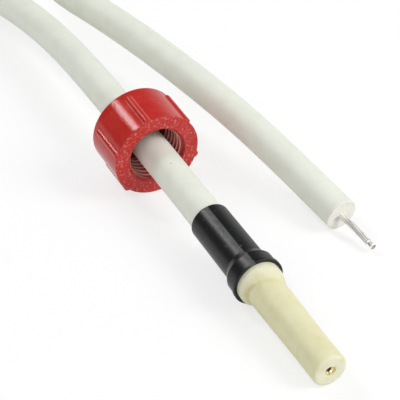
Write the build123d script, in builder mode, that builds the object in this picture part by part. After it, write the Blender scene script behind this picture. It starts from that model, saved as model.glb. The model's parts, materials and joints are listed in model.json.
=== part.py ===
from build123d import *
from math import cos, pi, radians, sin, tan
import os

# A high-tension flame-sensing lead: a thick single-core silicone cable with a socket connector
# (insulator nose, contact, rubber seal boot) on one end, a loose coupling nut that slides and
# spins on the cable, and a stripped stranded conductor on the other end.
# Frame: millimetres, +Z up, z = 0 is the surface that the lead lies on, +X points out of the
# connector's nose, and the origin is under the middle of the connector and nut.
# "s" is the distance along the connector's axis, counted from the front face of the parked nut.

# --- cable -------------------------------------------------------------------------------
cable_d = 7.0
strand_d = 0.48
strand_count = 7
conductor_r = 1.5 * strand_d

# --- coupling nut (female 1/2-20 UNF, drawn at its crest bore) ----------------------------
nut_length = 11.0
nut_r = 9.3
rib_count = 6
rib_tip_r = 9.8
rib_r = 1.15
rib_start = 1.3
rib_phase = 43.0
thread_crest_r = 5.75
thread_root_r = 6.35
mouth_r = 6.4
nut_wall = 2.2
relief_length = 1.0
nut_hole_r = 4.55

# --- slip washer --------------------------------------------------------------------------
washer_thickness = 0.8
washer_r = 5.5
washer_hole_r = 4.45
washer_gap = 0.15

# --- seal boot ----------------------------------------------------------------------------
boot_s = 23.0
boot_length = 19.9
boot_rear_r = 4.1
rear_round = 0.45
sleeve_r = 4.2
shoulder_at = 14.9
flange_at = 16.6
flange_r = 5.0
lip_length = 1.0
lip_step = 0.2
lip_r = 5.25

# --- nose insulator -----------------------------------------------------------------------
jacket_depth = 7.5
spigot_r = 3.55
pocket_at = 16.4
collar_r = 4.55
collar_length = 1.0
cone_length = 3.6
nose_length = 26.6
nose_base_r = 3.66
nose_tip_r = 3.45
nose_land = 8.0
nose_round = 0.3
contact_hole_r = 1.1
chamber_r = 2.0

# --- contact ------------------------------------------------------------------------------
contact_recess = 0.35
contact_front_length = 16.0
contact_shoulder_r = 1.7
contact_shoulder = 1.4
crimp_length = 7.0
crimp_r = 1.3
pin_r = 0.5
pin_lead_in = 0.25
pin_depth = 9.0
slit_width = 0.2
slit_length = 7.5

# --- where the cable lies -----------------------------------------------------------------
coil_x, coil_y = -182.9, 25.7
coil_ring_r = 38.5
coil_height = 2 * cable_d
tail_bare = 10.2
tinned_length = 2.2
tinned_round = 0.3
tie_width = 3.2
tie_wall = 0.8

# The nut lies on its lowest rib and the nose on its tip, which sets the axis's tilt.
cable_r = cable_d / 2
tip_s = boot_s + boot_length + nose_length
lowest_rib = min(abs(rib_phase + 360 / rib_count * k - 270) for k in range(rib_count))
rest_r = rib_r + (rib_tip_r - rib_r) * cos(radians(lowest_rib))
axis_dir = Vector(tip_s, 0, nose_tip_r - rest_r).normalized()
reach_front = tip_s * axis_dir.X - (nose_tip_r - nose_round) * axis_dir.Z
reach_back = nut_length * axis_dir.X - nut_r * axis_dir.Z
nut_front = Vector((reach_back - reach_front) / 2, 0, rest_r * axis_dir.X)


def on_axis(s):
    """The point of the connector's axis at distance s in front of the nut's face."""
    return nut_front + axis_dir * s


def across(s):
    """The plane square to the connector's axis at distance s, looking out of the nose."""
    return Plane(origin=on_axis(s), x_dir=(0, 1, 0), z_dir=axis_dir)


def strand_places():
    """The strands' centres in a conductor: one in the middle and the others around it."""
    return [Vector(0, 0)] + [loc.position for loc in PolarLocations(strand_d, strand_count - 1)]


# Turned pieces are drawn as (s, radius) on this plane and revolved about the axis.
section = Plane(origin=nut_front, x_dir=axis_dir, z_dir=(0, -1, 0))
lead_axis = Axis(nut_front, axis_dir)
rim_s = boot_s + boot_length
contact_face = tip_s - contact_recess
contact_back = contact_face - contact_front_length
crimp_back = contact_back - contact_shoulder - crimp_length
jacket_end = boot_s + jacket_depth
os.makedirs("parts", exist_ok=True)
finished = []

# --- coupling nut -------------------------------------------------------------------------
with BuildPart() as coupling_nut:
    with BuildSketch(section):
        with BuildLine():
            Polyline(
                (-nut_length, nut_hole_r),
                (-nut_length, nut_r),
                (0, nut_r),
                (0, mouth_r),
                (thread_crest_r - mouth_r, thread_crest_r),
                (nut_wall + relief_length - nut_length, thread_crest_r),
                (nut_wall + relief_length - nut_length, thread_root_r),
                (nut_wall - nut_length, thread_root_r),
                (nut_wall - nut_length, nut_hole_r),
                close=True,
            )
        make_face()
    revolve(axis=lead_axis)
    with BuildSketch(across(rib_start - nut_length)):
        with PolarLocations(rib_tip_r - rib_r, rib_count, start_angle=rib_phase):
            Circle(rib_r)
    extrude(amount=nut_length - rib_start)
finished.append(("coupling_nut", coupling_nut))

# --- slip washer, between the nut's end wall and the boot's shoulder -----------------------
washer_back = nut_wall - nut_length + washer_gap
with BuildPart() as slip_washer:
    with BuildSketch(across(washer_back)):
        Circle(washer_r)
        Circle(washer_hole_r, mode=Mode.SUBTRACT)
    extrude(amount=washer_thickness)
finished.append(("slip_washer", slip_washer))

# --- seal boot: a moulded sleeve with a flared flange and a lip that seals ------------------
with BuildPart() as seal_boot:
    with BuildSketch(section):
        with BuildLine():
            Polyline(
                (boot_s, cable_r),
                (boot_s, boot_rear_r - rear_round),
                (boot_s + rear_round, boot_rear_r),
                (boot_s + shoulder_at, sleeve_r),
                (boot_s + flange_at, flange_r),
                (rim_s - lip_length, flange_r),
                (rim_s - lip_length + lip_step, lip_r),
                (rim_s, lip_r),
                (rim_s, collar_r),
                (boot_s + pocket_at, collar_r),
                (boot_s + pocket_at, spigot_r),
                (jacket_end, spigot_r),
                (jacket_end, cable_r),
                close=True,
            )
        make_face()
    revolve(axis=lead_axis)
finished.append(("seal_boot", seal_boot))

# --- nose insulator: spigot and collar inside the boot, cone and long nose outside ----------
with BuildPart() as nose_insulator:
    with BuildSketch(section):
        with BuildLine():
            Polyline(
                (jacket_end, chamber_r),
                (jacket_end, spigot_r),
                (boot_s + pocket_at, spigot_r),
                (boot_s + pocket_at, collar_r),
                (rim_s + collar_length, collar_r),
                (rim_s + collar_length + cone_length, nose_base_r),
                (tip_s - nose_land, nose_tip_r),
                (tip_s - nose_round, nose_tip_r),
                (tip_s, nose_tip_r - nose_round),
                (tip_s, contact_hole_r),
                (contact_back, contact_hole_r),
                (contact_back, chamber_r),
                close=True,
            )
        make_face()
    revolve(axis=lead_axis)
finished.append(("nose_insulator", nose_insulator))

# --- contact: a slotted pin socket with a shoulder and a crimp barrel -----------------------
with BuildPart() as contact_socket:
    with BuildSketch(section):
        with BuildLine():
            Polyline(
                (contact_face, pin_r + pin_lead_in),
                (contact_face, contact_hole_r),
                (contact_back, contact_hole_r),
                (contact_back, contact_shoulder_r),
                (contact_back - contact_shoulder, contact_shoulder_r),
                (contact_back - contact_shoulder, crimp_r),
                (crimp_back, crimp_r),
                (crimp_back, conductor_r),
                (contact_back - contact_shoulder, conductor_r),
                (contact_back - contact_shoulder, 0),
                (contact_face - pin_depth, 0),
                (contact_face - pin_depth, pin_r),
                (contact_face - pin_lead_in, pin_r),
                close=True,
            )
        make_face()
    revolve(axis=lead_axis)
    with BuildSketch(across(contact_face)):
        Rectangle(slit_width, 2 * contact_hole_r + 1)
    extrude(amount=-slit_length, mode=Mode.SUBTRACT)
finished.append(("contact_socket", contact_socket))

# --- potting that locks the contact in the insulator's rear chamber -------------------------
with BuildPart() as potting_fill:
    with BuildSketch(section):
        with BuildLine():
            Polyline(
                (contact_back - contact_shoulder, crimp_r),
                (contact_back - contact_shoulder, chamber_r),
                (jacket_end, chamber_r),
                (jacket_end, conductor_r),
                (crimp_back, conductor_r),
                (crimp_back, crimp_r),
                close=True,
            )
        make_face()
    revolve(axis=lead_axis)
finished.append(("potting_fill", potting_fill))

# --- the cable's end inside the boot --------------------------------------------------------
with BuildPart() as lead_end_jacket:
    with BuildSketch(across(boot_s)):
        Circle(cable_r)
        Circle(conductor_r, mode=Mode.SUBTRACT)
    extrude(amount=jacket_depth)
finished.append(("lead_end_jacket", lead_end_jacket))

strand_length = contact_back - contact_shoulder - boot_s
for number, place in enumerate(strand_places(), start=1):
    with BuildPart() as front_strand:
        with BuildSketch(across(boot_s)):
            with Locations(place):
                Circle(strand_d / 2)
        extrude(amount=strand_length)
    finished.append((f"front_strand_{number}", front_strand))


# --- the free cable: straight through the nut, down to the coil, and out again as the tail ---
def tube_radii(route):
    """One bend radius for each inner point of a route: 0.45 of its shorter run / tan(half turn)."""
    radii = []
    for before, corner, after in zip(route, route[1:], route[2:]):
        run_in, run_out = corner - before, after - corner
        half_turn = radians(run_in.get_angle(run_out) / 2)
        radii.append(0.45 * min(run_in.length, run_out.length) / tan(half_turn))
    return radii


front_route = [
    on_axis(boot_s),
    on_axis(-18.0),
    Vector(-88.0, 1.9, 9.2),
    Vector(-120.0, -2.2, 6.4),
    Vector(-150.0, -7.8, 3.7),
    Vector(-177.5, -12.4, cable_r),
]
tail_end = Vector(-0.7, 26.9, 3.45)
tail_route = [
    Vector(-148.4, 44.5, 10.5),
    Vector(-143.9, 30.2, 10.5),
    Vector(-134.4, 18.6, 10.5),
    Vector(-120.6, 12.0, 10.5),
    Vector(-103.2, 10.7, 10.5),
    Vector(-82.7, 15.3, 10.5),
    Vector(-60.3, 18.6, 10.5),
    Vector(-38.1, 21.8, 9.3),
    Vector(-17.5, 24.4, 6.9),
    tail_end,
]
for label, route in (("lead_front_run", front_route), ("lead_tail_run", tail_route)):
    radii = tube_radii(route)
    with BuildPart() as tube:
        with BuildLine():
            path = FilletPolyline(*route, radius=radii)
        with BuildSketch(Plane(origin=route[0], z_dir=route[1] - route[0])):
            Circle(cable_r)
        sweep()
    expected = pi * cable_r**2 * path.length
    print(label, "radii", [round(r, 1) for r in radii], "length", round(path.length, 1))
    print(label, "volume", round(tube.part.volume, 1), "section x length", round(expected, 1))
    finished.append((label, tube))

# --- the coil: the outer shape of two turns lying one on the other, and the tie round them ---
with BuildPart() as lead_coil:
    with BuildSketch(Plane.XZ.offset(-coil_y)):
        with Locations((coil_x + coil_ring_r, coil_height / 2)):
            SlotOverall(coil_height, cable_d, rotation=90)
    revolve(axis=Axis((coil_x, coil_y, 0), (0, 0, 1)))
finished.append(("lead_coil", lead_coil))

with BuildPart() as coil_tie:
    with BuildSketch(Plane.XZ.offset(-coil_y - tie_width / 2)):
        with Locations((coil_x - coil_ring_r, (coil_height + tie_wall) / 2)):
            RectangleRounded(cable_d + 2 * tie_wall, coil_height + tie_wall, cable_r)
            Rectangle(cable_d - 2 * tie_wall, coil_height - 3 * tie_wall, mode=Mode.SUBTRACT)
    extrude(amount=tie_width)
finished.append(("coil_tie", coil_tie))

# --- the tail's bare conductor ----------------------------------------------------------------
tail_plane = Plane(origin=tail_end, z_dir=tail_end - tail_route[-2])
for number, place in enumerate(strand_places(), start=1):
    with BuildPart() as tail_strand:
        with BuildSketch(tail_plane):
            with Locations(place):
                Circle(strand_d / 2)
        extrude(amount=tail_bare - tinned_length)
    finished.append((f"tail_strand_{number}", tail_strand))

with BuildPart() as tail_tinned_tip:
    with BuildSketch(tail_plane.offset(tail_bare - tinned_length)):
        Circle(conductor_r)
    extrude(amount=tinned_length)
    fillet(tail_tinned_tip.faces().sort_by(Axis.X)[-1].edges(), tinned_round)
finished.append(("tail_tinned_tip", tail_tinned_tip))

for label, piece in finished:
    piece.part.label = label
    export_step(piece.part, f"parts/{label}.step")
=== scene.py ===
"""Builds the looks of a high-tension flame-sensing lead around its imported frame.

The lead is a thick silicone cable. One end carries a connector with an insulated nose and a
rubber seal boot, a loose ribbed coupling nut rides on the cable behind it, and the other end is
cut square with its stranded conductor laid bare. The spare cable lies in a tied coil.
Piece sizes are in millimetres and are turned into metres when a mesh is placed in the frame.
"""

import json
import logging
from dataclasses import dataclass
from enum import Enum
from math import asin, atan2, ceil, cos, degrees, exp, hypot, pi, radians, sin, tan
from typing import Any, Mapping, Sequence

import bmesh
import bpy
from mathutils import Matrix, Vector, noise

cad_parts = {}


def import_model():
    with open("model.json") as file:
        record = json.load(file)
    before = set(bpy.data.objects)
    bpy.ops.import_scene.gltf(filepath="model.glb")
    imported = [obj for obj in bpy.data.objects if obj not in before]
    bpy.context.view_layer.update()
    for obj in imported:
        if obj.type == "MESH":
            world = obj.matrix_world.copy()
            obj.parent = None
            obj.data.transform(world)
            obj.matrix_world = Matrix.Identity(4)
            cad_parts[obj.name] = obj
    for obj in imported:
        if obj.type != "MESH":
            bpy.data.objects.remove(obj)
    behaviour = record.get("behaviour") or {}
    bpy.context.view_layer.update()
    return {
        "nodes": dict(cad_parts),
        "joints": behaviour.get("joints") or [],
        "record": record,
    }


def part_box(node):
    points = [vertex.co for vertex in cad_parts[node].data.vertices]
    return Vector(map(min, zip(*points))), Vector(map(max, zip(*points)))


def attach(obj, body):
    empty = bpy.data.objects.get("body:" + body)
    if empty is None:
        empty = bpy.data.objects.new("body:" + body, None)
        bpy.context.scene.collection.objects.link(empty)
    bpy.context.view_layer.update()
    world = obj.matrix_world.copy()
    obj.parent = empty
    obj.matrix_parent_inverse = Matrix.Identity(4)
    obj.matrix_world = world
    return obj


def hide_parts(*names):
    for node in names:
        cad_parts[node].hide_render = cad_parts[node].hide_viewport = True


LOG = logging.getLogger("flame_lead")
MM = 0.001
Colour = tuple[float, float, float]
Point = tuple[float, float, float]
Range = tuple[float, float]
Mesh, Piece, Material = bpy.types.Mesh, bpy.types.Object, bpy.types.Material
Socket, NodeTree = bpy.types.NodeSocket, bpy.types.NodeTree


def eased(share: float) -> float:
    """Returns a share held between 0 and 1 and eased at both."""
    held = min(max(share, 0.0), 1.0)
    return held * held * (3 - 2 * held)


def link_object(name: str, data: Any) -> Piece:
    """Puts a new object in the scene.

    Args:
        name: the object's name.
        data: the mesh, curve, lamp or camera that it shows.

    Returns:
        The object.
    """
    made = bpy.data.objects.new(name, data)
    bpy.context.scene.collection.objects.link(made)
    return made


# --- drawing node trees ---
class NodePen:
    """Adds nodes to a tree and joins them up."""

    def __init__(self, tree: NodeTree) -> None:
        """Starts on the shader or geometry tree that the nodes go into."""
        self.tree = tree

    def add(self, kind: str, inputs: Mapping[Any, Any] | None = None, **settings: Any) -> bpy.types.Node:
        """Adds one node.

        Args:
            kind: the node's type name.
            inputs: values or sockets for its inputs, by socket name or number.
            settings: the node's own properties.

        Returns:
            The new node.
        """
        node = self.tree.nodes.new(kind)
        for key, value in settings.items():
            setattr(node, key, value)
        for key, value in (inputs or {}).items():
            if isinstance(value, Socket):
                self.tree.links.new(value, node.inputs[key])
            elif value is not None:
                node.inputs[key].default_value = value
        return node

    def out(self, kind: str, inputs: Mapping[Any, Any] | None = None, **settings: Any) -> Socket:
        """Returns the first output of a new node."""
        return self.add(kind, inputs, **settings).outputs[0]

    def math(self, operation: str, *values: Any) -> Socket:
        """Returns the result of a sum on sockets or numbers."""
        return self.out("ShaderNodeMath", dict(enumerate(values)), operation=operation)

    def times(self, *values: Any) -> Socket:
        """Returns the product of two sockets or numbers."""
        return self.math("MULTIPLY", *values)


class ShaderPen(NodePen):
    """Draws the patterns that the finishes share."""

    def millimetres(self, origin: Vector, turn: Point, stretch: Point = (1, 1, 1)) -> Socket:
        """The piece's own coordinates in millimetres, from a place on it.

        Args:
            origin: the place where the pattern is centred, in the frame's metres.
            turn: the rotation that lays the pattern's X along the piece.
            stretch: how far the pattern is drawn out along its own axes.

        Returns:
            The vector socket of the coordinates.
        """
        place = self.add("ShaderNodeTexCoord").outputs["Object"]
        scale = tuple(MM * s for s in stretch)
        inputs = {"Vector": place, "Location": origin, "Rotation": turn, "Scale": scale}
        return self.out("ShaderNodeMapping", inputs, vector_type="TEXTURE")

    def noise(self, place: Any, scale: float, detail: float = 3.0, warp: float = 0.0) -> Socket:
        """Returns a noise value that changes about `scale` times in a millimetre."""
        inputs = {"Vector": place, "Scale": scale, "Detail": detail, "Distortion": warp}
        return self.out("ShaderNodeTexNoise", inputs)

    def fade(self, value: Any, low: float, high: float, to: Range = (0, 1)) -> Socket:
        """Returns a value drawn smoothly from one range to another, and held at its ends."""
        inputs = {0: value, 1: low, 2: high, 3: to[0], 4: to[1]}
        return self.out("ShaderNodeMapRange", inputs, interpolation_type="SMOOTHSTEP")

    def blend(self, share: Any, first: Any, second: Any) -> Socket:
        """Returns the mix of two colours, each a socket or a tuple of three numbers."""
        under, over = (c if isinstance(c, Socket) else (*c, 1.0) for c in (first, second))
        return self.add("ShaderNodeMix", {0: share, 6: under, 7: over}, data_type="RGBA").outputs[2]

    def specks(self, place: Any, scale: float, size: float, share: float) -> Socket:
        """Scattered small round spots.

        Args:
            place: the coordinates in millimetres.
            scale: cells in a millimetre, each of which may hold one spot.
            size: a spot's radius as a part of its cell.
            share: the part of the cells that hold a spot.

        Returns:
            A socket that is 1 on a spot and 0 between them.
        """
        cells = self.add("ShaderNodeTexVoronoi", {"Vector": place, "Scale": scale})
        chance = self.out("ShaderNodeSeparateColor", {0: cells.outputs["Color"]})
        spot = self.fade(cells.outputs["Distance"], size, size * 0.6)
        return self.times(self.math("LESS_THAN", chance, share), spot)

    def separate(self, place: Any) -> Sequence[Socket]:
        """Returns a vector's three parts."""
        return self.add("ShaderNodeSeparateXYZ", {0: place}).outputs

    def attribute(self, name: str) -> Socket:
        """Returns the value of one of the mesh's own attributes."""
        return self.add("ShaderNodeAttribute", attribute_name=name).outputs["Fac"]


def blank_material(name: str) -> tuple[Material, ShaderPen]:
    """Starts a material.

    Args:
        name: the material's name.

    Returns:
        The material, with an empty node tree, and a pen on that tree.
    """
    made = bpy.data.materials.new(name)
    made.use_nodes = True
    made.node_tree.nodes.clear()
    return made, ShaderPen(made.node_tree)


# --- finishes ---
@dataclass
class Coat:
    """A finish while it is drawn: its pen and coordinates, and what its shader will take."""

    pen: ShaderPen
    place: Socket
    colour: Socket
    rough: Socket
    relief: Socket

    def paint(self, share: Socket, most: float, colour: Colour) -> None:
        """Lays a colour over a share of the surface, and at most so strongly."""
        self.colour = self.pen.blend(self.pen.times(share, most), self.colour, colour)

    def shader(self, depth: float, **values: float) -> None:
        """Ends the material.

        Args:
            depth: the relief's depth in millimetres.
            values: the shader's even settings, with their names' spaces as underscores.
        """
        inputs = {"Height": self.relief, "Strength": 1.0, "Distance": depth * MM}
        bump = self.pen.out("ShaderNodeBump", inputs)
        inputs = {"Base Color": self.colour, "Roughness": self.rough, "Normal": bump}
        inputs |= {name.replace("_", " "): value for name, value in values.items()}
        surface = self.pen.out("ShaderNodeBsdfPrincipled", inputs)
        self.pen.add("ShaderNodeOutputMaterial", {"Surface": surface})


@dataclass(frozen=True)
class Moulding:
    """A moulded finish: a colour with soft mottling, fine grain and a few specks of dust."""

    name: str
    base: Colour
    mottle: Colour
    roughness: float
    origin: Vector = Vector()
    turn: Point = (0.0, 0.0, 0.0)
    mottle_scale: float = 0.25
    mottle_share: float = 0.6
    grain_scale: float = 6.0
    grain_depth: float = 0.012
    streaks: float = 1.0
    gloss_spread: float = 0.06
    specular: float = 0.5
    dust: Colour = (0.3, 0.24, 0.18)
    dust_share: float = 0.02
    dust_scale: float = 0.8
    dust_size: float = 0.16

    def material(self) -> Material:
        """Builds the finish.

        Returns:
            The new material.
        """
        made, pen = blank_material(self.name)
        place = pen.millimetres(self.origin, self.turn)
        drawn = pen.millimetres(self.origin, self.turn, (self.streaks, 1, 1))
        grain = pen.noise(drawn, self.grain_scale, 4.0)
        cloud = pen.fade(pen.noise(drawn, self.mottle_scale, 4.0, 0.4), 0.38, 0.66)
        colour = pen.blend(pen.times(cloud, self.mottle_share), self.base, self.mottle)
        low, high = self.roughness - self.gloss_spread, self.roughness + self.gloss_spread
        rough = pen.fade(pen.noise(place, self.grain_scale * 0.4), 0.3, 0.7, (low, high))
        coat = Coat(pen, place, colour, rough, grain)
        self.dress(coat)
        coat.paint(pen.specks(place, self.dust_scale, self.dust_size, self.dust_share), 0.7, self.dust)
        coat.shader(self.grain_depth, Specular_IOR_Level=self.specular)
        return made

    def dress(self, coat: Coat) -> None:
        """Lets a special finish change the coat."""


@dataclass(frozen=True)
class NutMoulding(Moulding):
    """The nut's moulding: bloom on its end faces, a painted highlight on its thread's crests and painted
    shade in its roots.
    """

    bloom: Colour = (0.78, 0.33, 0.30)
    bloom_share: float = 0.8
    scuff_share: float = 0.16
    crest_highlight_colour: Colour = (0.96, 0.54, 0.48)
    root_shade_colour: Colour = (0.26, 0.010, 0.008)
    crest_highlight_reach: Range = (5.78, 5.93)
    root_shade_reach: Range = (5.9, 6.2)

    def dress(self, coat: Coat) -> None:
        """Adds the end faces' bloom, the painted highlight and shade in the thread, and the scuffs outside.

        Args:
            coat: the coat, which is changed.
        """
        pen, place = coat.pen, coat.place
        face = pen.attribute("face")
        coarse = pen.noise(place, 1.7, 5.0, 0.35)
        patches = pen.fade(pen.noise(place, 0.45, 3.0, 0.5), 0.3, 0.7, (0.35, 1.0))
        bloom = pen.times(pen.times(pen.fade(coarse, 0.5, 0.72), patches), face)
        coat.paint(bloom, self.bloom_share, self.bloom)
        _, y, z = pen.separate(place)
        radius = pen.math("SQRT", pen.math("ADD", pen.times(y, y), pen.times(z, z)))
        # The thread's crests are painted pale as a highlight, and its roots painted dark as shade.
        crest = pen.times(pen.fade(radius, *self.crest_highlight_reach, (1, 0)), pen.attribute("bore"))
        root = pen.times(pen.fade(radius, *self.root_shade_reach), pen.attribute("bore"))
        coat.paint(root, 0.5, self.root_shade_colour)
        coat.paint(crest, 0.85, self.crest_highlight_colour)
        scuff = pen.fade(pen.noise(place, 0.8, 6.0, 1.5), 0.6, 0.74)
        coat.paint(scuff, self.scuff_share, self.bloom)
        coat.rough = pen.math("ADD", coat.rough, pen.times(face, 0.2))
        coarse = pen.times(coarse, pen.times(face, 4.0))
        sway = pen.times(pen.noise(place, 0.55, 2.0), 2.6)
        coat.relief = pen.math("ADD", pen.math("ADD", coat.relief, coarse), sway)


@dataclass(frozen=True)
class BootRubber(Moulding):
    """The boot's rubber, with a painted highlight as a grey band along its top, and light scuffs all round.
    """

    highlight_and_scuff_colour: Colour = (0.11, 0.112, 0.11)
    highlight_rise: Range = (126.0, 109.0)
    highlight_fall: Range = (99.5, 104.0)

    def dress(self, coat: Coat) -> None:
        """Adds the painted highlight band and the scuffs.

        Args:
            coat: the coat, which is changed.
        """
        pen, place = coat.pen, coat.place
        _, y, z = pen.separate(place)
        angle = pen.math("ARCTAN2", z, y)
        # A grey band at a fixed angle about the axis is painted in as a highlight; the scuffs take its colour
        # too.
        rise, fall = (pen.fade(angle, *map(radians, ends)) for ends in (self.highlight_rise, self.highlight_fall))
        highlight_breakup = pen.fade(pen.noise(place, 0.7, 5.0, 0.6), 0.25, 0.6, (0.45, 1.0))
        band = pen.times(pen.times(rise, fall), highlight_breakup)
        scuff = pen.times(pen.fade(pen.noise(place, 1.1, 6.0, 1.0), 0.6, 0.75), 0.35)
        coat.paint(pen.math("MAXIMUM", band, scuff), 1.0, self.highlight_and_scuff_colour)


@dataclass(frozen=True)
class InsulatorMoulding(Moulding):
    """The nose's moulding: pale on its collar and end, with painted shade in the crease between them."""

    pale: Colour = (0.80, 0.79, 0.63)
    tan_patch_and_crease_shade: Colour = (0.62, 0.51, 0.24)

    def dress(self, coat: Coat) -> None:
        """Adds the pale ends, the painted shade in the crease and a few tan patches.

        Args:
            coat: the coat, which is changed.
        """
        pen, place = coat.pen, coat.place
        ends = pen.math("MAXIMUM", pen.attribute("collar"), pen.times(pen.attribute("tip"), 0.9))
        coat.paint(ends, 0.75, self.pale)
        patch = pen.fade(pen.noise(place, 0.26, 3.0, 0.25), 0.5, 0.75)
        ragged = pen.fade(pen.noise(place, 1.2), 0.3, 0.6, (0.35, 1))
        # The crease is painted a darker tan as shade; a few random tan patches take the same colour.
        creased = pen.times(pen.attribute("crease"), ragged)
        patches_and_crease_shade = pen.math("MAXIMUM", pen.times(patch, 0.34), pen.times(creased, 0.75))
        coat.paint(patches_and_crease_shade, 1.0, self.tan_patch_and_crease_shade)


@dataclass(frozen=True)
class CutFace(Moulding):
    """The cable's cut end: fine blade marks and a grey patch by the conductor."""

    grey_patch: Colour = (0.42, 0.43, 0.46)
    grey_patch_at: Point = (0.0, -1.1, -0.5)

    def dress(self, coat: Coat) -> None:
        """Adds the blade marks and the grey patch.

        Args:
            coat: the coat, which is changed.
        """
        pen, place = coat.pen, coat.place
        # A grey patch is painted beside the conductor, fading out over about a millimetre.
        offset = pen.add("ShaderNodeVectorMath", {0: place, 1: self.grey_patch_at}, operation="DISTANCE")
        ragged = pen.math("ADD", offset.outputs["Value"], pen.times(pen.noise(place, 1.6), 1.1))
        coat.paint(pen.fade(ragged, 1.75, 0.75), 0.75, self.grey_patch)
        inputs = {"Vector": place, "Scale": 1.1, "Distortion": 3.0, "Detail": 3.0}
        marks = pen.add("ShaderNodeTexWave", inputs, bands_direction="Y")
        coat.relief = pen.math("ADD", coat.relief, marks.outputs["Fac"])


@dataclass(frozen=True)
class Metal:
    """A bare metal finish with fine scratches and some tarnish."""

    name: str
    base: Colour
    tarnish: Colour
    roughness: float
    tarnish_share: float = 0.5
    scratch_depth: float = 0.002
    end: Colour = (0.30, 0.20, 0.11)

    def material(self) -> Material:
        """Builds the finish.

        Returns:
            The new material.
        """
        made, pen = blank_material(self.name)
        place = pen.millimetres(Vector(), (0.0, 0.0, 0.0))
        dull = pen.fade(pen.noise(place, 0.9, 4.0, 0.6), 0.4, 0.7)
        colour = pen.blend(pen.times(dull, self.tarnish_share), self.base, self.tarnish)
        rough = pen.fade(dull, 0.0, 1.0, (self.roughness - 0.07, self.roughness + 0.12))
        scratch = pen.noise(pen.millimetres(Vector(), (0.0, 0.0, 0.0), (6, 1, 1)), 9.0, 3.0)
        coat = Coat(pen, place, colour, rough, scratch)
        bare = pen.times(pen.attribute("end"), pen.fade(pen.noise(place, 1.1), 0.4, 0.55))
        coat.paint(bare, 0.85, self.end)
        coat.shader(self.scratch_depth, Metallic=1.0)
        return made


# --- turned shapes ---
@dataclass(frozen=True)
class TurningAxis:
    """An axis in the frame that turned pieces share, with distances along it in millimetres."""

    origin: Vector
    direction: Vector

    def point(self, s: float) -> Vector:
        """Returns the frame's point at distance s along the axis."""
        return self.origin + self.direction * s * MM

    def placement(self, s: float = 0.0) -> Matrix:
        """The matrix that puts a piece made along X, in millimetres, on the axis.

        Args:
            s: where on the axis the piece's own zero goes.

        Returns:
            The matrix into the frame.
        """
        side = Vector((0, 0, 1)).cross(self.direction).normalized()
        up = self.direction.cross(side)
        turn = Matrix((self.direction, side, up)).transposed().to_4x4()
        return Matrix.Translation(self.point(s)) @ turn @ Matrix.Scale(MM, 4)

    def turn(self) -> Point:
        """Returns the axis's rotation as angles for a pattern's mapping."""
        return tuple(self.placement().to_euler())


@dataclass(frozen=True)
class Corner:
    """One corner of a turned outline, and the surface that runs on from it."""

    s: float
    r: float
    fillet: float = 0.0
    zone: str = ""
    step: float = 0.0

    def at(self) -> Vector:
        """Returns the corner as a plane vector."""
        return Vector((self.s, self.r))


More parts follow.
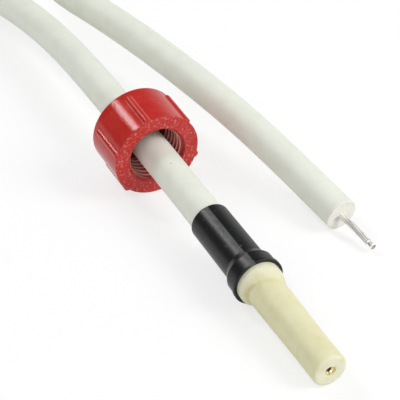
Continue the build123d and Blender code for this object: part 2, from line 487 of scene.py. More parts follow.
class Outline:
    """A closed outline of corners, swept about the X axis into a closed mesh."""

    HOLD = 0.09
    ARC_STEP = radians(13)

    def __init__(self, corners: Sequence[Corner]) -> None:
        """Rounds the corners and spaces the rings.

        Args:
            corners: the outline's corners in order. A radius of 0 closes it on the axis.
        """
        self.rings: list[tuple[float, float, str]] = []
        count = len(corners)
        self.poles = corners[0].r == 0 and corners[-1].r == 0
        arcs = [self._arc(corners, i) for i in range(count)]
        for i, (corner, arc) in enumerate(zip(corners, arcs)):
            before = corners[i - 1].zone
            half = (len(arc) + 1) // 2 if len(arc) > 1 else 0
            self.rings += [(*p, before) for p in arc[:half]] + [(*p, corner.zone) for p in arc[half:]]
            if self.poles and i == count - 1:
                break
            start, end = Vector(arc[-1]), Vector(arcs[(i + 1) % count][0])
            self.rings += [(*p, corner.zone) for p in self._between(start, end, corner.step)]

    def _arc(self, corners: Sequence[Corner], i: int) -> list[tuple[float, float]]:
        """The points that round one corner, or the corner itself.

        Args:
            corners: the outline's corners.
            i: which of them is rounded.

        Returns:
            The points in order.
        """
        here, count = corners[i].at(), len(corners)
        ends = self.poles and i in (0, count - 1)
        if corners[i].fillet == 0 or ends:
            return [tuple(here)]
        back = (corners[i - 1].at() - here).normalized()
        on = (corners[(i + 1) % count].at() - here).normalized()
        opening = back.angle(on)
        reach = corners[i].fillet / tan(opening / 2)
        middle = here + (back + on).normalized() * corners[i].fillet / sin(opening / 2)
        first, last = here + back * reach - middle, here + on * reach - middle
        sweep = first.angle_signed(last)
        steps = max(2, ceil(abs(sweep) / self.ARC_STEP))
        turns = [Matrix.Rotation(-sweep * k / steps, 2) for k in range(steps + 1)]
        return [tuple(middle + turn @ first) for turn in turns]

    def _between(self, start: Vector, end: Vector, step: float) -> list[tuple[float, float]]:
        """The rings inside a straight stretch: one near each end, and more if it is stepped.

        Args:
            start: where the stretch starts.
            end: where it ends.
            step: the most that its rings may be apart, or 0.

        Returns:
            The rings' points in order.
        """
        length = (end - start).length
        marks: list[float] = []
        if length > 4 * self.HOLD:
            marks = [self.HOLD, length - self.HOLD]
        if step:
            pieces = ceil(length / step)
            marks += [length * k / pieces for k in range(1, pieces)]
        return [tuple(start.lerp(end, m / length)) for m in sorted(marks)]

    def mesh(self, name: str, columns: int) -> Mesh:
        """Sweeps the outline.

        Args:
            name: the mesh's name.
            columns: the number of steps round the axis.

        Returns:
            A closed mesh in millimetres along X, with one attribute for each named zone.
        """
        points: list[Point] = []
        faces: list[tuple[int, ...]] = []
        starts: list[tuple[int, int]] = []
        for s, r, _ in self.rings:
            size = 1 if r == 0 else columns
            starts.append((len(points), size))
            points += [(s, r * cos(2 * pi * k / columns), r * sin(2 * pi * k / columns)) for k in range(size)]
        pairs = list(zip(starts, starts[1:])) + ([] if self.poles else [(starts[-1], starts[0])])
        for (a, a_size), (b, b_size) in pairs:
            for k in range(columns):
                n = (k + 1) % columns
                corners = [a + k % a_size, a + n % a_size, b + n % b_size, b + k % b_size]
                faces.append(tuple(dict.fromkeys(corners)))
        made = bpy.data.meshes.new(name)
        made.from_pydata(points, [], faces)
        for zone in sorted({z for _, _, z in self.rings if z}):
            layer = made.attributes.new(zone, "FLOAT", "POINT")
            rows = zip(self.rings, starts)
            values = [float(ring[2] == zone) for ring, (_, size) in rows for _ in range(size)]
            layer.data.foreach_set("value", values)
        tidy_mesh(made)
        return made


def tidy_mesh(mesh: Mesh) -> None:
    """Turns a closed mesh's faces outwards and shades it smooth.

    Args:
        mesh: the mesh, which is changed.
    """
    work = bmesh.new()
    work.from_mesh(mesh)
    bmesh.ops.remove_doubles(work, verts=work.verts, dist=1e-7)
    bmesh.ops.recalc_face_normals(work, faces=work.faces)
    work.to_mesh(mesh)
    work.free()
    mesh.shade_smooth()


# --- geometry node shapes ---
class ShapeTree(NodePen):
    """A geometry node tree with named sizes, run once on a mesh to give another."""

    def __init__(self, name: str, sizes: Mapping[str, float | int]) -> None:
        """Starts the tree.

        Args:
            name: the tree's name.
            sizes: its named inputs and the value that each is run with.
        """
        super().__init__(bpy.data.node_groups.new(name, "GeometryNodeTree"))
        face = self.tree.interface
        face.new_socket("Geometry", in_out="INPUT", socket_type="NodeSocketGeometry")
        face.new_socket("Geometry", in_out="OUTPUT", socket_type="NodeSocketGeometry")
        self.sizes = dict(sizes)
        self.keys: dict[str, str] = {}
        for label, value in self.sizes.items():
            kind = "NodeSocketInt" if isinstance(value, int) else "NodeSocketFloat"
            self.keys[label] = face.new_socket(label, in_out="INPUT", socket_type=kind).identifier
        self.start = self.tree.nodes.new("NodeGroupInput")
        self.end = self.tree.nodes.new("NodeGroupOutput")

    def size(self, label: str) -> Socket:
        """Returns the socket of a named size, or of the geometry that comes in."""
        return self.start.outputs[label]

    def named(self, name: str) -> Socket:
        """Returns the value of one of the mesh's own attributes."""
        return self.out("GeometryNodeInputNamedAttribute", {"Name": name}, data_type="FLOAT")

    def close(self, shape: Socket, material: Material) -> None:
        """Ends the tree.

        Args:
            shape: the finished geometry.
            material: the material that all of it takes.
        """
        smooth = self.out("GeometryNodeSetShadeSmooth", {"Geometry": shape})
        real = self.out("GeometryNodeRealizeInstances", {"Geometry": smooth})
        dressed = self.out("GeometryNodeSetMaterial", {"Geometry": real, "Material": material})
        self.tree.links.new(dressed, self.end.inputs[0])

    def run(self, base: Mesh) -> Mesh:
        """Runs the tree.

        Args:
            base: the mesh that it starts from.

        Returns:
            The result as a plain mesh.
        """
        holder = link_object("holder", base)
        modifier = holder.modifiers.new(self.tree.name, "NODES")
        modifier.node_group = self.tree
        for label, key in self.keys.items():
            modifier[key] = self.sizes[label]
        bpy.context.view_layer.update()
        result = bpy.data.meshes.new_from_object(holder.evaluated_get(bpy.context.evaluated_depsgraph_get()))
        holder.modifiers.remove(modifier)
        bpy.data.objects.remove(holder)
        return result


# --- pieces ---
class Body(Enum):
    """The bodies that move on their own."""

    LEAD = "lead"
    WASHER = "washer"
    NUT = "nut"


def place_piece(
    name: str,
    mesh: Mesh,
    matrix: Matrix,
    material: Material,
    nodes: Sequence[str] = (),
    body: Body = Body.LEAD,
) -> Piece:
    """Puts a finished mesh in the frame as one piece.

    Args:
        name: the piece's name.
        mesh: its mesh, in millimetres in its own axes.
        matrix: where it goes in the frame.
        material: its finish.
        nodes: the frame's nodes that it stands for.
        body: the body that it moves with.

    Returns:
        The new object.
    """
    mesh.transform(matrix)
    mesh.name = name
    mesh.materials.clear()
    mesh.materials.append(material)
    piece = link_object(name, mesh)
    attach(piece, body.value)
    if nodes:
        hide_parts(*nodes)
    LOG.info("%s: %d faces, on body %s", name, len(mesh.polygons), body.value)
    return piece


@dataclass
class Assembly:
    """Pieces that are turned about one axis, and the finishes for them."""

    axis: TurningAxis
    finishes: Mapping[str, Material]

    def put(self, name: str, mesh: Mesh, slot: str, nodes: Sequence[str], body: Body = Body.LEAD) -> Piece:
        """Returns the mesh put on the axis as a piece, in its slot's finish."""
        return place_piece(name, mesh, self.axis.placement(), self.finishes[slot], nodes, body)


@dataclass
class CouplingNut(Assembly):
    """The ribbed nut with its internal thread, which slides and spins on the cable."""

    length: float = 11.0
    outer_r: float = 9.3
    rib_count: int = 6
    rib_tip_r: float = 9.8
    rib_r: float = 0.8
    rib_start: float = 1.3
    rib_phase: float = 44.5
    crest_r: float = 5.75
    root_r: float = 6.35
    pitch: float = 1.27
    mouth_r: float = 6.4
    wall: float = 2.2
    relief: float = 1.0
    hole_r: float = 4.55
    root_blend: float = 0.05
    flank: Range = (0.07, 0.42)
    columns: int = 420

    def outline(self) -> Outline:
        """The nut's section, before its ribs and its thread are raised.

        Returns:
            The outline, whose zones are the end faces, the outside and the bore.
        """
        back, inner = -self.length, self.wall - self.length
        rows = self.pitch / 12
        return Outline([
            Corner(back, self.hole_r, 0.15, "face"),
            Corner(back, self.outer_r, 0.3, "outside"),
            Corner(back + self.rib_start - 0.2, self.outer_r, 0, "outside", 0.08),
            Corner(back + self.rib_start + self.rib_r + 0.2, self.outer_r, 0, "outside"),
            Corner(0, self.outer_r, 0.14, "face", 0.5),
            Corner(0, self.mouth_r, 0.12, "bore", rows),
            Corner(self.crest_r - self.mouth_r, self.crest_r, 0, "bore", rows),
            Corner(inner + self.relief, self.crest_r, 0, "bore", rows),
            Corner(inner + self.relief, self.root_r, 0, ""),
            Corner(inner, self.root_r, 0.2, ""),
            Corner(inner, self.hole_r, 0.1, ""),
        ])

    def relief_tree(self) -> ShapeTree:
        """Draws the rule that raises the ribs and cuts the thread.

        Returns:
            The tree, with its sizes set.
        """
        tree = ShapeTree("ribs_and_thread", {
            "Rib Count": self.rib_count, "Rib Radius": self.rib_r,
            "Rib Centre": self.rib_tip_r - self.rib_r, "Rib Start": self.rib_start - self.length,
            "Rib Phase": radians(self.rib_phase), "Outer Radius": self.outer_r, "Root Blend": self.root_blend,
            "Pitch": self.pitch, "Crest Radius": self.crest_r, "Root Radius": self.root_r,
        })
        m, times, size = tree.math, tree.times, tree.size
        place = tree.out("GeometryNodeInputPosition")
        s, y, z = tree.add("ShaderNodeSeparateXYZ", {0: place}).outputs
        radius = m("SQRT", m("ADD", times(y, y), times(z, z)))
        angle = m("ARCTAN2", z, y)
        sector = m("DIVIDE", pi, size("Rib Count"))
        offset = m("WRAP", m("SUBTRACT", angle, size("Rib Phase")), sector, times(sector, -1))
        aside = times(m("SINE", offset), size("Rib Centre"))
        behind = m("MAXIMUM", m("SUBTRACT", m("ADD", size("Rib Start"), size("Rib Radius")), s), 0)
        spread = m("ADD", times(aside, aside), times(behind, behind))
        room = m("SUBTRACT", times(size("Rib Radius"), size("Rib Radius")), spread)
        middle = times(m("COSINE", offset), size("Rib Centre"))
        crown = m("ADD", middle, m("SQRT", m("MAXIMUM", room, 0)))
        rise = m("SMOOTH_MAX", m("SUBTRACT", crown, size("Outer Radius")), 0, size("Root Blend"))
        ribbed = m("ADD", radius, times(rise, tree.named("outside")))
        turns = m("SUBTRACT", m("DIVIDE", s, size("Pitch")), m("DIVIDE", angle, 2 * pi))
        inputs = {0: m("PINGPONG", turns, 0.5), 1: self.flank[0], 2: self.flank[1]}
        inputs |= {3: size("Crest Radius"), 4: size("Root Radius")}
        groove = tree.out("ShaderNodeMapRange", inputs, interpolation_type="SMOOTHSTEP")
        depth = m("MAXIMUM", m("SUBTRACT", groove, radius), 0)
        final = m("ADD", ribbed, times(depth, tree.named("bore")))
        grow = m("DIVIDE", final, radius)
        moved = tree.out("ShaderNodeCombineXYZ", {0: s, 1: times(y, grow), 2: times(z, grow)})
        inputs = {"Geometry": size("Geometry"), "Position": moved}
        tree.close(tree.out("GeometryNodeSetPosition", inputs), self.finishes["nut_red"])
        return tree

    def build(self) -> None:
        """Makes the nut."""
        shaped = self.relief_tree().run(self.outline().mesh("nut_base", self.columns))
        self.put("nut_shell", shaped, "nut_red", ["coupling_nut"], Body.NUT)


@dataclass
class Connector(Assembly):
    """The washer, the seal boot and the insulated nose in front of the nut."""

    washer_back: float = -8.65
    washer_hole_r: float = 4.45
    washer_r: float = 5.5
    washer_thickness: float = 0.8
    boot_s: float = 23.0
    boot_length: float = 19.9
    boot_bore_r: float = 3.51
    boot_rear_r: float = 4.1
    sleeve_r: float = 4.2
    shoulder_at: float = 14.9
    flange_at: float = 16.6
    flange_r: float = 5.0
    lip_r: float = 5.25
    lip_mouth_r: float = 4.66
    jacket_depth: float = 7.5
    spigot_r: float = 3.55
    collar_at: float = 16.4
    collar_r: float = 4.55
    clearance: float = 0.01
    nose_length: float = 26.6
    nose_base_r: float = 3.66
    nose_tip_r: float = 3.45
    nose_land: float = 8.0
    hole_r: float = 1.1
    hole_length: float = 16.35
    chamber_r: float = 2.0
    shoulder_length: float = 5.4
    step_side: float = 190.0
    step_start: float = 1.15
    step_end: float = 2.45
    slope: float = 2.6
    groove_depth: float = 0.1
    groove_width: float = 0.34
    crease_width: float = 0.5
    columns: int = 160

    def washer(self) -> None:
        """Makes the slip washer that lies in the nut, with its edges eased."""
        back, front = self.washer_back, self.washer_back + self.washer_thickness
        mesh = Outline([
            Corner(back, self.washer_hole_r, 0.12), Corner(back, self.washer_r, 0.15),
            Corner(front, self.washer_r, 0.15), Corner(front, self.washer_hole_r, 0.12),
        ]).mesh("washer", self.columns)
        self.put("washer_ring", mesh, "washer_black", ["slip_washer"], Body.WASHER)

    def boot(self) -> None:
        """Makes the rubber boot: sleeve, flare, flange and sealing lip."""
        back, rim = self.boot_s, self.boot_s + self.boot_length
        pocket, pocket_r = back + self.collar_at + 0.1, self.collar_r + self.clearance
        inner, inner_r = back + self.jacket_depth, self.spigot_r + self.clearance
        mesh = Outline([
            Corner(back, self.boot_bore_r, 0.1), Corner(back, self.boot_rear_r, 0.38, "sleeve", 0.8),
            Corner(back + self.shoulder_at, self.sleeve_r, 0.35, "sleeve"),
            Corner(back + self.flange_at, self.flange_r, 0.3, "sleeve"),
            Corner(rim - 1.0, self.flange_r, 0.06), Corner(rim - 0.85, self.lip_r, 0.08),
            Corner(rim, self.lip_r, 0.16), Corner(rim, self.lip_mouth_r, 0.1),
            Corner(rim - 0.7, pocket_r), Corner(pocket, pocket_r), Corner(pocket, inner_r),
            Corner(inner, inner_r), Corner(inner, self.boot_bore_r),
        ]).mesh("boot", self.columns)
        self.put("boot_sleeve", mesh, "boot_rubber", ["seal_boot"])

    def nose(self) -> None:
        """Makes the insulator: spigot, collar, shoulder and the long nose with its socket hole."""
        rim = self.boot_s + self.boot_length
        tip, hole_end = rim + self.nose_length, rim + self.nose_length - self.hole_length
        inner, collar = self.boot_s + self.jacket_depth, self.boot_s + self.collar_at
        mesh = Outline([
            Corner(inner, self.chamber_r), Corner(inner, self.spigot_r),
            Corner(collar, self.spigot_r), Corner(collar, self.collar_r),
            Corner(rim + 0.3, self.collar_r, 0, "collar", 0.12),
            Corner(rim + self.shoulder_length, self.nose_base_r, 0, "", 0.5),
            Corner(tip - self.nose_land, self.nose_tip_r, 0, "", 0.5),
            Corner(tip, self.nose_tip_r, 0.6, "tip"), Corner(tip, self.hole_r, 0.12),
            Corner(hole_end, self.hole_r), Corner(hole_end, self.chamber_r),
        ]).mesh("nose", self.columns)
        self.shape_shoulder(mesh, rim)
        self.put("nose_body", mesh, "insulator_cream", ["nose_insulator"])

    def shape_shoulder(self, mesh: Mesh, rim: float) -> None:
        """Draws the collar down to the nose, in a sharp step on one side and a long slope on the other.

        Args:
            mesh: the insulator's mesh, which is changed and given a crease attribute.
            rim: where the boot's rim is along the axis.
        """
        collar = mesh.attributes["collar"].data
        crease = mesh.attributes.new("crease", "FLOAT", "POINT").data
        values = [0.0] * len(mesh.vertices)
        for k, point in enumerate(mesh.vertices):
            s, radius = point.co.x - rim, hypot(point.co.y, point.co.z)
            if not 0.2 < s < 7.0 or radius < 3.0:
                continue
            angle = atan2(point.co.z, point.co.y)
            sharp = 0.5 + 0.5 * cos(angle - radians(self.step_side))
            start = self.step_start + 0.12 * noise.noise(point.co * 0.5)
            end = self.step_end + self.slope * (1 - sharp) + 0.25 * noise.noise(point.co * 0.45)
            drop = eased((s - start) / (end - start))
            groove = exp(-(((s - end) / self.groove_width) ** 2)) * sharp
            nose_r = self.nose_base_r if s < self.shoulder_length else radius
            wanted = self.collar_r + (nose_r - self.collar_r) * drop - self.groove_depth * groove
            point.co.yz = point.co.yz * (wanted / radius)
            values[k] = exp(-(((s - end + 0.1) / self.crease_width) ** 2)) * sharp
            collar[k].value = 1 - drop
        crease.foreach_set("value", values)


# --- the cable ---
@dataclass
class Cable:
    """The silicone cable: out of the boot, through the nut, round the tied coil and back."""

    diameter: float = 7.0
    length: float = 0.75
    coil_x: float = -182.9
    coil_y: float = 25.7
    coil_r: float = 39.86
    coil_first: float = 293.0
    coil_step: float = 30.0
    coil_points: int = 21
    climb_from: float = 20.0
    climb_to: float = -67.0
    straight_to: float = -18.0
    steps: int = 14

    FRONT = ((-88.0, 1.9, 9.2), (-120.0, -2.2, 6.4), (-150.0, -7.8, 3.7))
    TAIL = (
        (-148.4, 44.5, 10.5), (-143.9, 30.2, 10.5), (-134.4, 18.6, 10.5), (-120.6, 12.0, 10.5),
        (-103.2, 10.7, 10.5), (-82.7, 15.3, 10.5), (-60.3, 18.6, 10.5), (-38.1, 21.8, 9.3),
        (-17.5, 24.4, 6.9), (-0.7, 26.9, 3.45),
    )

    def coil(self) -> list[Point]:
        """The coil's turns, the first one on the floor and the second one on top of it.

        Returns:
            The points that steer the turns, in millimetres.
        """
        turns = []
        for k in range(self.coil_points):
            angle = self.coil_first - self.coil_step * k
            climb = eased((self.climb_from - angle) / (self.climb_from - self.climb_to))
            z = self.diameter * (0.5 + climb)
            x = self.coil_x + self.coil_r * cos(radians(angle))
            turns.append((x, self.coil_y + self.coil_r * sin(radians(angle)), z))
        return turns

    def build(self, axis: TurningAxis, boot_s: float, material: Material) -> Piece:
        """Makes the cable as one smooth curve.

        Args:
            axis: the connector's axis.
            boot_s: where on it the cable leaves the boot.
            material: its finish.

        Returns:
            The curve object.
        """
        start = [axis.point(boot_s), axis.point(self.straight_to)]
        route = [*start, *(Vector(p) * MM for p in (*self.FRONT, *self.coil(), *self.TAIL))]
        curve = bpy.data.curves.new("lead_cable", "CURVE")
        curve.dimensions = "3D"
        line = curve.splines.new("NURBS")
        line.points.add(len(route) - 1)
        for knot, place in zip(line.points, route):
            knot.co = (*place, 1.0)
        line.order_u = 3
        line.use_endpoint_u = True
        line.resolution_u = self.steps
        curve.bevel_depth = self.diameter / 2 * MM
        curve.bevel_resolution = self.steps
        curve.use_fill_caps = True
        curve.materials.append(material)
        cable = link_object("lead_cable", curve)
        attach(cable, Body.LEAD.value)
        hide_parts("lead_front_run", "lead_coil", "lead_tail_run")
        LOG.info("lead_cable: %d control points", len(route))
        return cable


@dataclass
class BareEnd(Assembly):
    """The cable's cut end: the cut face, the twisted strands and their tinned tip."""

    cable_r: float = 3.5
    bare: float = 10.2
    tinned: float = 2.2
    tip_round: float = 0.3
    strand_d: float = 0.48
    lay: float = 34.0
    strand_swell: float = 0.62
    ring_share: float = 0.9
    face_hole_r: float = 0.6
    face_depth: float = 0.5
    face_proud: float = 0.03

    @classmethod
    def tip_middle(cls) -> float:
        """Returns the distance from the cut face to the middle of the tinned tip's straight part."""
        return cls.bare - (cls.tinned + cls.tip_round) / 2

    def face(self) -> Piece:
        """Makes the cut face, a little uneven, with its edge just broken.

        Returns:
            The new piece.
        """
        rim_r, front = self.cable_r + 0.004, self.face_proud
        mesh = Outline([
            Corner(-self.face_depth, self.face_hole_r), Corner(-self.face_depth, rim_r),
            Corner(front, rim_r, 0.13, "", 0.25), Corner(front, self.face_hole_r),
        ]).mesh("cut", 96)
        for point in mesh.vertices:
            if point.co.x > -self.face_depth / 2:
                point.co.x += 0.07 * noise.noise(point.co * 0.7) + 0.02 * noise.noise(point.co * 2.5)
        where, cut = self.axis.placement(), self.finishes["cut"]
        return place_piece("tail_cut_face", mesh, where, cut)

    def strand_tree(self) -> ShapeTree:
        """Draws the rule that lays the strands round each other.

        Returns:
            The tree, with its sizes set.
        """
        tree = ShapeTree("twisted_strands", {
            "Strand Radius": self.strand_d * self.strand_swell, "Lay": self.lay,
            "Length": self.bare - 1.2, "Sides": 16, "Steps": 60, "Wander": 0.05,
        })
        size = tree.size
        end = tree.out("ShaderNodeCombineXYZ", {0: size("Length")})
        line = tree.out("GeometryNodeCurvePrimitiveLine", {"Start": (-0.6, 0, 0), "End": end})
        line = tree.out("GeometryNodeResampleCurve", {"Curve": line, "Count": size("Steps")})
        places = tree.out("GeometryNodeMeshToPoints", {"Mesh": size("Geometry")})
        wires = tree.out("GeometryNodeInstanceOnPoints", {"Points": places, "Instance": line})
        wires = tree.out("GeometryNodeRealizeInstances", {"Geometry": wires})
        place = tree.out("GeometryNodeInputPosition")
        along = tree.out("ShaderNodeSeparateXYZ", {0: place})
        angle = tree.math("DIVIDE", tree.times(along, 2 * pi), size("Lay"))
        inputs = {"Vector": place, "Angle": angle}
        twisted = tree.out("ShaderNodeVectorRotate", inputs, rotation_type="X_AXIS")
        inputs = {"Vector": place, "Scale": 0.35, "Detail": 0.0}
        drift = tree.add("ShaderNodeTexNoise", inputs).outputs["Color"]
        inputs = {0: drift, 1: (0.5, 0.5, 0.5)}
        drift = tree.out("ShaderNodeVectorMath", inputs, operation="SUBTRACT")
        inputs = {0: drift, "Scale": size("Wander")}
        drift = tree.out("ShaderNodeVectorMath", inputs, operation="SCALE")
        inputs = {"Geometry": wires, "Position": twisted, "Offset": drift}
        wires = tree.out("GeometryNodeSetPosition", inputs)
        inputs = {"Resolution": size("Sides"), "Radius": size("Strand Radius")}
        section = tree.out("GeometryNodeCurvePrimitiveCircle", inputs)
        inputs = {"Curve": wires, "Profile Curve": section, "Fill Caps": True}
        tree.close(tree.out("GeometryNodeCurveToMesh", inputs), self.finishes["conductor_tinned"])
        return tree

    def strands(self) -> Piece:
        """Makes the seven strands, one in the middle and six laid round it, run together with solder.

        Returns:
            The new piece.
        """
        base = bpy.data.meshes.new("strand_places")
        ring_r = self.strand_d * self.ring_share
        ring = [(0.0, ring_r * cos(k * pi / 3), ring_r * sin(k * pi / 3)) for k in range(6)]
        base.from_pydata([(0.0, 0.0, 0.0), *ring], [], [])
        mesh = self.strand_tree().run(base)
        nodes = [f"tail_strand_{k}" for k in range(1, 8)]
        return self.put("tail_strands", mesh, "conductor_tinned", nodes)

    def tip(self) -> Piece:
        """Makes the tinned tip, where solder has run the strands into one.

        Returns:
            The new piece.
        """
        reach, r = self.bare, self.strand_d * 1.5
        back, full = reach - self.tinned + 0.3, reach - self.tinned + 0.9
        mesh = Outline([
            Corner(back, 0), Corner(back, r * 0.8, 0.1, "", 0.2), Corner(full, r, 0.3, "", 0.2),
            Corner(reach, r, self.tip_round, "end", 0.2), Corner(reach, 0),
        ]).mesh("tip", 48)
        for point in mesh.vertices:
            swirl = atan2(point.co.z, point.co.y) - 2 * pi * point.co.x / self.lay
            fade = min(1.0, max(0.0, (reach - point.co.x) / self.tinned))
            ease = 1 + (0.06 * cos(6 * swirl) - 0.06) * fade + 0.05 * noise.noise(point.co * 1.3)
            point.co.yz = point.co.yz * ease
        return self.put("tail_tip", mesh, "conductor_tinned", ["tail_tinned_tip"])


@dataclass
class CoilStrap:
    """The reusable strap that holds the coil's two turns together."""

    finish: Material
    wide: float = 3.2
    thick: float = 0.8
    cable_d: float = 7.0
    tooth_pitch: float = 1.1
    tooth_height: float = 0.16
    bite: float = 0.05
    loop_points: int = 40
    head: Point = (2.6, 5.0, 4.6)
    head_at: Point = (5.0, 1.0, 0.0)

    def loop(self) -> Mesh:
        """The strap's line round both turns, held just above the floor.

        Returns:
            A closed ring of edges in its own plane.
        """
        r, half = (self.cable_d + self.thick) / 2 - self.bite, self.cable_d / 2
        lowest = self.thick / 2 + self.tooth_height + 0.03 - self.cable_d
        points, count = [], self.loop_points
        for k in range(count):
            angle = 2 * pi * (k + 0.5) / count
            height = r * sin(angle) + (half if sin(angle) > 0 else -half)
            points.append((r * cos(angle), max(height, lowest), 0.0))
        ring = bpy.data.meshes.new("strap_line")
        ring.from_pydata(points, [(k, (k + 1) % count) for k in range(count)], [])
        return ring

    def tree(self) -> ShapeTree:
        """Draws the rule that lays the band and its teeth along the line.

        Returns:
            The tree, with its sizes set.
        """
        tree = ShapeTree("strap_and_teeth", {
            "Width": self.wide, "Thickness": self.thick, "Tooth Pitch": self.tooth_pitch,
            "Tooth Height": self.tooth_height, "Tooth Length": 0.45,
        })
        size = tree.size
        line = tree.out("GeometryNodeMeshToCurve", {"Mesh": size("Geometry")})
        line = tree.out("GeometryNodeSetCurveNormal", {"Curve": line}, mode="Z_UP")
        inputs = {"Width": size("Thickness"), "Height": size("Width")}
        band = tree.out("GeometryNodeCurvePrimitiveQuadrilateral", inputs)
        inputs = {"Curve": band, "Radius": 0.22, "Count": 3}
        band = tree.out("GeometryNodeFilletCurve", inputs, mode="POLY")
        inputs = {"Curve": line, "Profile Curve": band}
        strap = tree.out("GeometryNodeCurveToMesh", inputs)
        inputs = {"Curve": line, "Length": size("Tooth Pitch")}
        points = tree.add("GeometryNodeCurveToPoints", inputs, mode="LENGTH").outputs
        height = tree.math("ADD", size("Thickness"), tree.times(size("Tooth Height"), 2))
        inputs = {0: height, 1: tree.times(size("Width"), 0.62), 2: size("Tooth Length")}
        block = tree.out("ShaderNodeCombineXYZ", inputs)
        tooth = tree.out("GeometryNodeMeshCube", {"Size": block})
        inputs = {"Points": points[0], "Instance": tooth, "Rotation": points["Rotation"]}
        teeth = tree.out("GeometryNodeInstanceOnPoints", inputs)
        join = tree.add("GeometryNodeJoinGeometry")
        for shape in (strap, teeth):
            tree.tree.links.new(shape, join.inputs[0])
        tree.close(join.outputs[0], self.finish)
        return tree

    def build(self) -> Piece:
        """Makes the strap where the frame's tie is.

        Returns:
            The new piece.
        """
        low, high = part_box("coil_tie")
        middle = (low + high) / 2
        middle.z = self.cable_d * MM
        mesh = self.tree().run(self.loop())
        head = bmesh.new()
        head.from_mesh(mesh)
        made = bmesh.ops.create_cube(head, size=1.0)["verts"]
        bmesh.ops.scale(head, vec=self.head, verts=made)
        bmesh.ops.translate(head, vec=self.head_at, verts=made)
        edges = list({edge for point in made for edge in point.link_edges})
        bmesh.ops.bevel(head, geom=edges, offset=0.5, segments=3, affect="EDGES", profile=0.6)
        head.to_mesh(mesh)
        head.free()
        upright = Matrix.Translation(middle) @ Matrix.Rotation(radians(90), 4, "X") @ Matrix.Scale(MM, 4)
        return place_piece("coil_strap", mesh, upright, self.finish, ["coil_tie"])


# --- stage ---
@dataclass(frozen=True)
class Softbox:
    """One rectangular studio lamp that faces the object."""

    name: str
    towards: Point
    distance: float
    width: float
    height: float
    watts: float

    def build(self, aim: Vector) -> None:
        """Hangs the lamp.

        Args:
            aim: the point that it faces.
        """
        lamp = bpy.data.lights.new(self.name, "AREA")
        lamp.shape = "RECTANGLE"
        lamp.size, lamp.size_y = self.width, self.height
        lamp.energy = self.watts
        held = link_object(self.name, lamp)
        away = Vector(self.towards).normalized()
        held.location = aim + away * self.distance
        held.rotation_euler = away.to_track_quat("Z", "Y").to_euler()


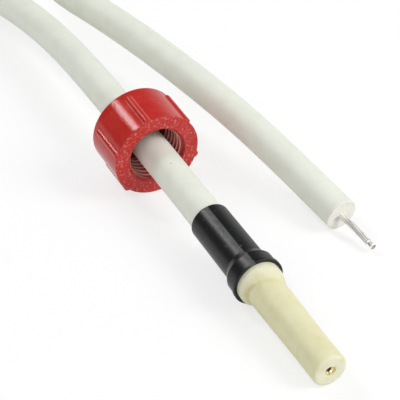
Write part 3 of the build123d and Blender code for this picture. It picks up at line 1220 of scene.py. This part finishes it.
@dataclass(frozen=True)
class Studio:
    """A plain white table, soft light and the camera."""

    focal: float = 171.0
    sensor: float = 36.0
    eye: Point = (262.44, -141.31, 218.41)
    right: Point = (0.4604, 0.8877, 0.0)
    down: Point = (0.4988, -0.2587, -0.8272)
    forward: Point = (-0.7343, 0.3808, -0.5619)
    floor_size: float = 6.0
    floor_bounce: float = 0.85
    floor_seen: float = 0.97
    floor_glow: float = 0.7
    sky: float = 0.44
    dark_side: Point = (-0.8, -0.45, 0.4)
    dark_edge: Range = (0.25, 0.65)
    dark: float = 0.12

    def camera(self) -> None:
        """Sets the camera up."""
        data = bpy.data.cameras.new("camera")
        data.lens = self.focal
        data.sensor_width = self.sensor
        data.clip_start, data.clip_end = 0.01, 20.0
        held = link_object("camera", data)
        turn = Matrix((Vector(self.right), -Vector(self.down), -Vector(self.forward))).transposed()
        held.matrix_world = Matrix.Translation(Vector(self.eye) * MM) @ turn.to_4x4()
        bpy.context.scene.camera = held

    @staticmethod
    def seen(pen: ShaderPen) -> Socket:
        """Picks out the rays that show a surface directly, in a mirror or through glass.

        Args:
            pen: the pen on the tree.

        Returns:
            A socket that is 1 for those rays and 0 for the others.
        """
        rays = pen.add("ShaderNodeLightPath").outputs
        mirrored = pen.math("MAXIMUM", rays["Is Glossy Ray"], rays["Is Transmission Ray"])
        return pen.math("MAXIMUM", rays["Is Camera Ray"], mirrored)

    def floor(self) -> None:
        """Lays the white table, which keeps the object's shadow."""
        half = self.floor_size / 2
        mesh = bpy.data.meshes.new("floor")
        corners = [(-half, -half, 0), (half, -half, 0), (half, half, 0), (-half, half, 0)]
        mesh.from_pydata(corners, [], [(0, 1, 2, 3)])
        made, pen = blank_material("white_table")
        seen = self.seen(pen)
        colour = pen.blend(seen, (self.floor_bounce,) * 3, (self.floor_seen,) * 3)
        matt = pen.out("ShaderNodeBsdfDiffuse", {"Color": colour})
        glow = pen.out("ShaderNodeEmission", {"Color": (1, 1, 1, 1), "Strength": 1.0})
        shares = {0: pen.times(seen, self.floor_glow), 1: matt, 2: glow}
        mixed = pen.out("ShaderNodeMixShader", shares)
        pen.add("ShaderNodeOutputMaterial", {"Surface": mixed})
        mesh.materials.append(made)
        link_object("floor", mesh)

    def world(self) -> None:
        """Makes the white surroundings, which only mirror rays see darker on one side."""
        world = bpy.data.worlds.new("surroundings")
        world.use_nodes = True
        world.node_tree.nodes.clear()
        pen = ShaderPen(world.node_tree)
        rays = pen.add("ShaderNodeLightPath").outputs
        heading = pen.add("ShaderNodeTexCoord").outputs["Generated"]
        facing = {0: heading, 1: Vector(self.dark_side).normalized()}
        facing = pen.add("ShaderNodeVectorMath", facing, operation="DOT_PRODUCT").outputs["Value"]
        room = pen.fade(facing, *self.dark_edge, (1.0, self.dark))
        mirrored = pen.times(room, self.seen(pen))
        unseen = pen.fade(self.seen(pen), 0, 1, (self.sky, 0.0))
        strength = pen.math("MAXIMUM", pen.math("ADD", mirrored, unseen), rays["Is Camera Ray"])
        back = pen.out("ShaderNodeBackground", {"Color": (1, 1, 1, 1), "Strength": strength})
        pen.add("ShaderNodeOutputWorld", {"Surface": back})
        bpy.context.scene.world = world

    def build(self) -> None:
        """Sets up everything that isn't part of the object."""
        bpy.context.scene.view_settings.view_transform = "Standard"
        self.camera()
        self.floor()
        self.world()
        aim = Vector((0.0, 0.0, 0.01))
        for lamp in (
            Softbox("back", (-0.62, -0.34, 0.71), 0.9, 0.14, 0.32, 1.9),
            Softbox("key", (0.5, 0.55, 0.67), 1.2, 0.6, 0.6, 8.4),
            Softbox("front", (0.75, -0.45, 0.45), 1.2, 0.6, 0.6, 2.2),
        ):
            lamp.build(aim)


# --- putting it together ---
def joint(frame: Mapping[str, Any], name: str) -> Mapping[str, Any]:
    """Returns the frame's joint of that name."""
    return next(j for j in frame["joints"] if j["name"] == name)


def mount(frame: Mapping[str, Any], name: str) -> Mapping[str, Any]:
    """Returns the record's mount of that name."""
    return next(m for m in frame["record"]["mounts"] if m["name"] == name)


def finish_nodes(frame: Mapping[str, Any], finishes: Mapping[str, Material]) -> None:
    """Gives the frame's own nodes that still show their finish.

    Args:
        frame: the loaded frame.
        finishes: the material for each of the record's slots.
    """
    for part in frame["record"]["subparts"]:
        node = frame["nodes"][part["node"]]
        node.data.materials.clear()
        node.data.materials.append(finishes[part["material_slot"]])


def main() -> None:
    """Builds the lead round its frame and reports each piece."""
    logging.basicConfig(level=logging.INFO, format="%(name)s %(message)s")
    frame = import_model()
    spin, tail = joint(frame, "nut_spin"), mount(frame, "tail_conductor")
    direction = Vector(spin["axis"]).normalized()
    axis = TurningAxis(Vector(spin["pos_m"]) + direction * CouplingNut.length / 2 * MM, direction)
    away = Vector(tail["axis"]).normalized()
    tail_axis = TurningAxis(Vector(tail["pos_m"]) - away * BareEnd.tip_middle() * MM, away)
    LOG.info("connector axis dips %.2f degrees", degrees(asin(-direction.z)))

    Studio().build()
    lie = {"origin": axis.origin, "turn": axis.turn()}
    finishes = {
        "cable_silicone": Moulding(
            "silicone_white", (0.79, 0.815, 0.725), (0.74, 0.77, 0.675), 0.58,
            grain_depth=0.02, specular=0.3,
        ),
        "nut_red": NutMoulding(
            "nut_red", (0.49, 0.022, 0.018), (0.54, 0.036, 0.028), 0.085,
            gloss_spread=0.025, specular=0.27, **lie,
        ),
        "washer_black": Moulding("washer_black", (0.02, 0.02, 0.02), (0.03, 0.03, 0.03), 0.6, **lie),
        "boot_rubber": BootRubber(
            "boot_rubber", (0.008, 0.0085, 0.009), (0.013, 0.013, 0.013), 0.32, streaks=6.0,
            specular=0.27, grain_depth=0.0015, gloss_spread=0.03, dust_scale=0.55, dust_share=0.05, **lie,
        ),
        "insulator_cream": InsulatorMoulding(
            "insulator_cream", (0.77, 0.745, 0.485), (0.72, 0.685, 0.41), 0.5, specular=0.25, **lie,
        ),
        "contact_brass": Metal("contact_brass", (0.84, 0.75, 0.50), (0.66, 0.52, 0.24), 0.36),
        "potting_silicone": Moulding("potting_grey", (0.6, 0.6, 0.58), (0.5, 0.5, 0.48), 0.6, **lie),
        "tie_black": Moulding("strap_black", (0.02, 0.02, 0.021), (0.03, 0.03, 0.03), 0.45),
        "conductor_tinned": Metal("tinned_copper", (0.96, 0.95, 0.92), (0.78, 0.74, 0.65), 0.4),
        "cut": CutFace(
            "silicone_cut", (0.86, 0.84, 0.77), (0.82, 0.78, 0.70), 0.6, grain_depth=0.03,
            origin=tail_axis.origin, turn=tail_axis.turn(),
        ),
    }
    finishes = {slot: finish.material() for slot, finish in finishes.items()}

    cable, connector, bare = Cable(), Connector(axis, finishes), BareEnd(tail_axis, finishes)
    lead = cable.build(axis, connector.boot_s, finishes["cable_silicone"])
    CouplingNut(axis, finishes).build()
    connector.washer()
    connector.boot()
    connector.nose()
    on_cable = [bare.face(), bare.strands(), bare.tip(), CoilStrap(finishes["tie_black"]).build()]
    finish_nodes(frame, finishes)
    axis.point(connector.boot_s)


if __name__ == "__main__":
    main()
